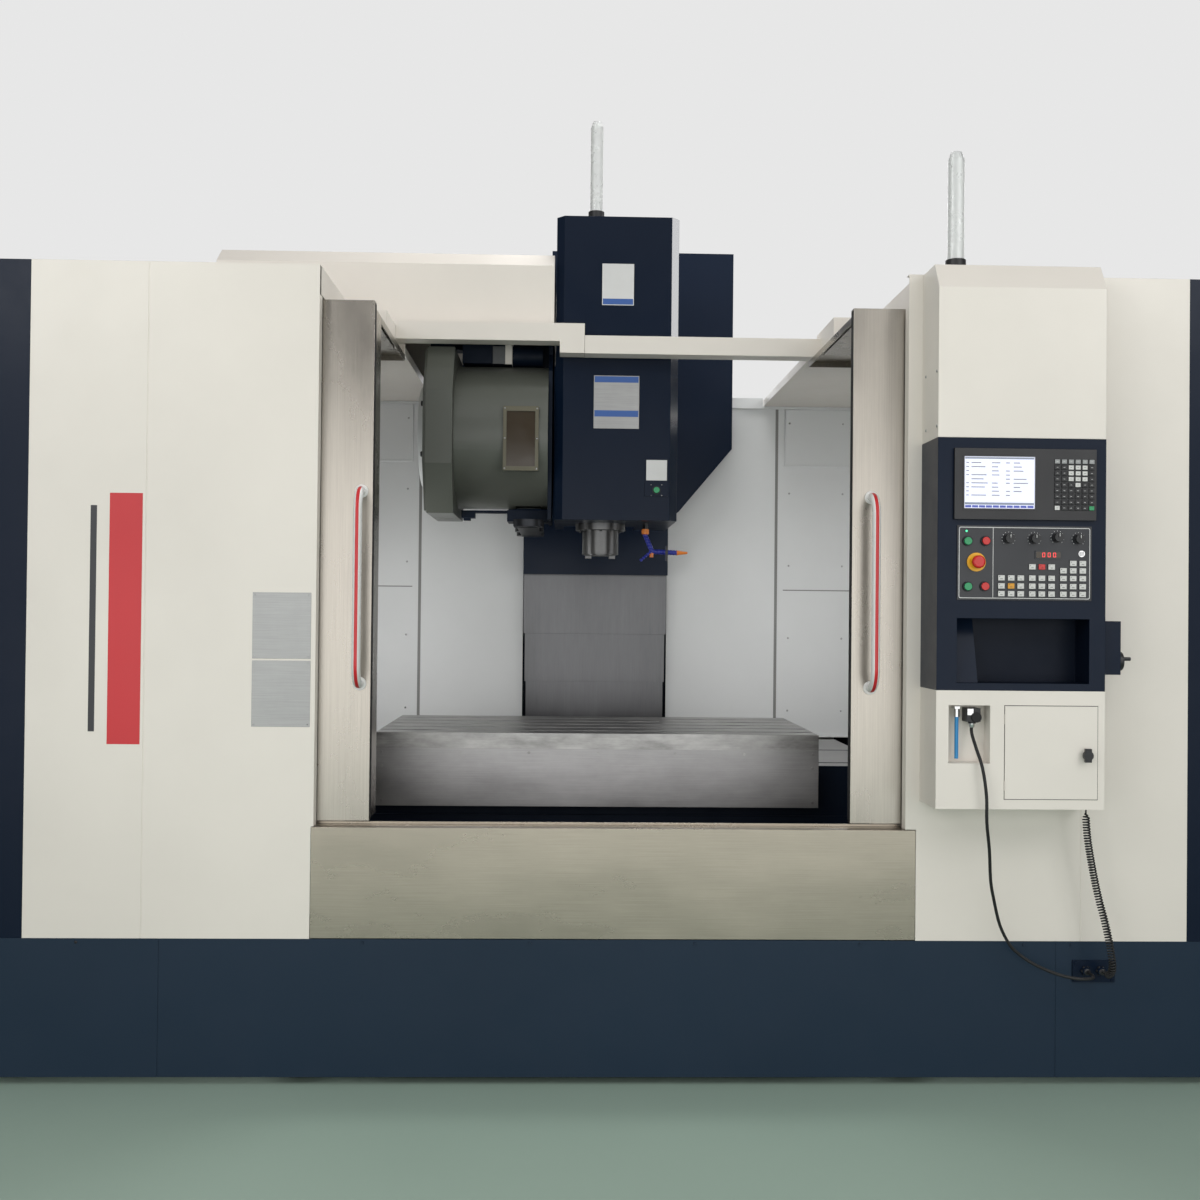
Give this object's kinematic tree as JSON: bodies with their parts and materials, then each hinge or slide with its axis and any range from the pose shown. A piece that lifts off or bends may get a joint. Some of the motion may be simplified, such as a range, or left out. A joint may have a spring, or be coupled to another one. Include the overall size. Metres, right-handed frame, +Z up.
{
  "type": "vertical machining centre",
  "caption": "Vertical machining centre: enclosed milling machine with two sliding doors, T-slot table, spindle head, drum tool changer and operator console.",
  "frame": {"origin": "centre of the footprint on the floor", "axes": "+X to the right seen from the operator side, +Y to the back of the machine, +Z up"},
  "size_m": [4.1, 3.216, 3.48],
  "materials": {
    "white_paint": "satin",
    "navy_paint": "satin",
    "grey_paint": "satin",
    "stainless_sheet": "satin",
    "cast_iron": "satin",
    "machined_steel": "satin",
    "hard_chrome": "gloss",
    "black_plastic": "matte",
    "dark_rubber": "matte",
    "red_plastic": "gloss",
    "green_plastic": "gloss",
    "blue_plastic": "matte",
    "smoked_glass": "gloss",
    "door_glass": "gloss",
    "lamp_plastic": "gloss"
  },
  "bodies": {
    "machine": {"base_casting": "cast_iron", "levelling_feet": "machined_steel", "column_casting": "navy_paint", "front_skirt": "navy_paint", "front_sill": "stainless_sheet", "left_front_panel": "white_paint", "right_front_panel": "white_paint", "left_side_cover": "navy_paint", "right_side_cover": "navy_paint", "left_roof": "white_paint", "right_roof": "white_paint", "back_wall": "white_paint", "pod_upper_box": "white_paint", "pod_console": "navy_paint", "pod_lower_box": "white_paint", "display_unit": "black_plastic", "operator_panel": "black_plastic", "gland_plate": "navy_paint", "control_cable": "dark_rubber", "coiled_cable": "dark_rubber", "electrical_cabinet": "white_paint", "signal_lamp": "lamp_plastic", "changer_body": "navy_paint", "magazine_drum": "grey_paint", "magazine_window": "smoked_glass", "lower_z_cover": "machined_steel"},
    "left_door": {"left_door": "stainless_sheet", "left_window": "door_glass", "left_handle": "white_paint"},
    "right_door": {"right_door": "stainless_sheet", "right_window": "door_glass", "right_handle": "white_paint"},
    "saddle": {"saddle": "navy_paint"},
    "table": {"table": "cast_iron"},
    "x_screw": {"x_ball_screw": "machined_steel"},
    "y_screw": {"y_ball_screw": "machined_steel"},
    "z_screw": {"z_ball_screw": "machined_steel"},
    "head": {"head_casting": "navy_paint", "head_cover": "navy_paint", "head_shield": "navy_paint", "spindle_motor": "black_plastic", "coolant_nozzles": "blue_plastic"},
    "spindle": {"spindle": "hard_chrome"},
    "middle_cover": {"middle_z_cover": "machined_steel"},
    "tool_disc": {"tool_disc": "machined_steel"},
    "changer_arm": {"changer_arm": "machined_steel"},
    "emergency_stop": {"emergency_stop": "red_plastic"},
    "power_on": {"power_on_button": "green_plastic"},
    "power_off": {"power_off_button": "red_plastic"},
    "cycle_start": {"cycle_start_button": "green_plastic"},
    "feed_hold": {"feed_hold_button": "red_plastic"},
    "tool_release": {"tool_release_button": "green_plastic"},
    "mode_knob": {"mode_knob": "black_plastic"},
    "feed_knob": {"feed_knob": "black_plastic"},
    "rapid_knob": {"rapid_knob": "black_plastic"},
    "spindle_knob": {"spindle_knob": "black_plastic"},
    "key_switch": {"key_switch": "hard_chrome"},
    "console_door": {"console_door": "white_paint"},
    "handwheel": {"handwheel": "black_plastic"},
    "cabinet_door": {"cabinet_door": "white_paint"}
  },
  "joints": [
    {"name": "left_door_slide", "type": "slide", "parent": "machine", "child": "left_door", "axis": [1, 0, 0], "range_m": [0, 0.782]},
    {"name": "right_door_slide", "type": "slide", "parent": "machine", "child": "right_door", "axis": [-1, 0, 0], "range_m": [0, 0.782]},
    {"name": "saddle_slide", "type": "slide", "parent": "machine", "child": "saddle", "axis": [0, 1, 0], "range_m": [-0.4, 0.4]},
    {"name": "table_slide", "type": "slide", "parent": "saddle", "child": "table", "axis": [1, 0, 0], "range_m": [-0.741, 0.759]},
    {"name": "head_slide", "type": "slide", "parent": "machine", "child": "head", "axis": [0, 0, 1], "range_m": [-0.535, 0.165]},
    {"name": "middle_cover_slide", "type": "slide", "parent": "machine", "child": "middle_cover", "axis": [0, 0, 1], "range_m": [-0.2675, 0.0825]},
    {"name": "x_screw_spin", "type": "hinge", "parent": "saddle", "child": "x_screw", "pos_m": [-0.016, -0.14, 0.838], "axis": [1, 0, 0], "continuous": true},
    {"name": "y_screw_spin", "type": "hinge", "parent": "machine", "child": "y_screw", "pos_m": [-0.016, -0.19, 0.545], "axis": [0, 1, 0], "continuous": true},
    {"name": "z_screw_spin", "type": "hinge", "parent": "machine", "child": "z_screw", "pos_m": [-0.016, 0.708, 2.23], "axis": [0, 0, 1], "continuous": true},
    {"name": "spindle_spin", "type": "hinge", "parent": "head", "child": "spindle", "pos_m": [-0.016, -0.19, 1.8], "axis": [0, 0, 1], "continuous": true},
    {"name": "tool_disc_spin", "type": "hinge", "parent": "machine", "child": "tool_disc", "pos_m": [-0.28, -0.19, 2.232], "axis": [1, 0, 0], "continuous": true},
    {"name": "changer_arm_swing", "type": "hinge", "parent": "machine", "child": "changer_arm", "pos_m": [-0.31, -0.19, 1.86], "axis": [0, 0, 1], "range_deg": [0, 55]},
    {"name": "emergency_stop_press", "type": "slide", "parent": "machine", "child": "emergency_stop", "axis": [0, 1, 0], "range_m": [0, 0.006]},
    {"name": "power_on_press", "type": "slide", "parent": "machine", "child": "power_on", "axis": [0, 1, 0], "range_m": [0, 0.0035], "stiffness_N_per_m": 400},
    {"name": "power_off_press", "type": "slide", "parent": "machine", "child": "power_off", "axis": [0, 1, 0], "range_m": [0, 0.0035], "stiffness_N_per_m": 400},
    {"name": "cycle_start_press", "type": "slide", "parent": "machine", "child": "cycle_start", "axis": [0, 1, 0], "range_m": [0, 0.0035], "stiffness_N_per_m": 400},
    {"name": "feed_hold_press", "type": "slide", "parent": "machine", "child": "feed_hold", "axis": [0, 1, 0], "range_m": [0, 0.0035], "stiffness_N_per_m": 400},
    {"name": "tool_release_press", "type": "slide", "parent": "head", "child": "tool_release", "axis": [0, 1, 0], "range_m": [0, 0.0035], "stiffness_N_per_m": 400},
    {"name": "mode_knob_turn", "type": "hinge", "parent": "machine", "child": "mode_knob", "pos_m": [1.213, -1.58, 1.756], "axis": [0, 1, 0], "range_deg": [-75, 75]},
    {"name": "feed_knob_turn", "type": "hinge", "parent": "machine", "child": "feed_knob", "pos_m": [1.294, -1.58, 1.756], "axis": [0, 1, 0], "range_deg": [-135, 135]},
    {"name": "rapid_knob_turn", "type": "hinge", "parent": "machine", "child": "rapid_knob", "pos_m": [1.366, -1.58, 1.761], "axis": [0, 1, 0], "range_deg": [-60, 60]},
    {"name": "spindle_knob_turn", "type": "hinge", "parent": "machine", "child": "spindle_knob", "pos_m": [1.432, -1.58, 1.757], "axis": [0, 1, 0], "range_deg": [-105, 105]},
    {"name": "key_turn", "type": "hinge", "parent": "machine", "child": "key_switch", "pos_m": [1.442, -1.58, 1.711], "axis": [0, 1, 0], "range_deg": [0, 90]},
    {"name": "console_door_swing", "type": "hinge", "parent": "machine", "child": "console_door", "pos_m": [1.207, -1.572, 1.093], "axis": [0, 0, -1], "range_deg": [0, 110]},
    {"name": "handwheel_spin", "type": "hinge", "parent": "machine", "child": "handwheel", "pos_m": [1.59, -1.485, 1.376], "axis": [1, 0, 0], "continuous": true},
    {"name": "cabinet_door_swing", "type": "hinge", "parent": "machine", "child": "cabinet_door", "pos_m": [1.66, 1.576, 1.21], "axis": [0, 0, -1], "range_deg": [0, 110]}
  ],
  "couplings": [
    {"joint": "middle_cover_slide", "follows": "head_slide", "ratio": 0.5},
    {"joint": "x_screw_spin", "follows": "table_slide", "rad_per_m": 314.16},
    {"joint": "y_screw_spin", "follows": "saddle_slide", "rad_per_m": 314.16},
    {"joint": "z_screw_spin", "follows": "head_slide", "rad_per_m": 314.16}
  ]
}
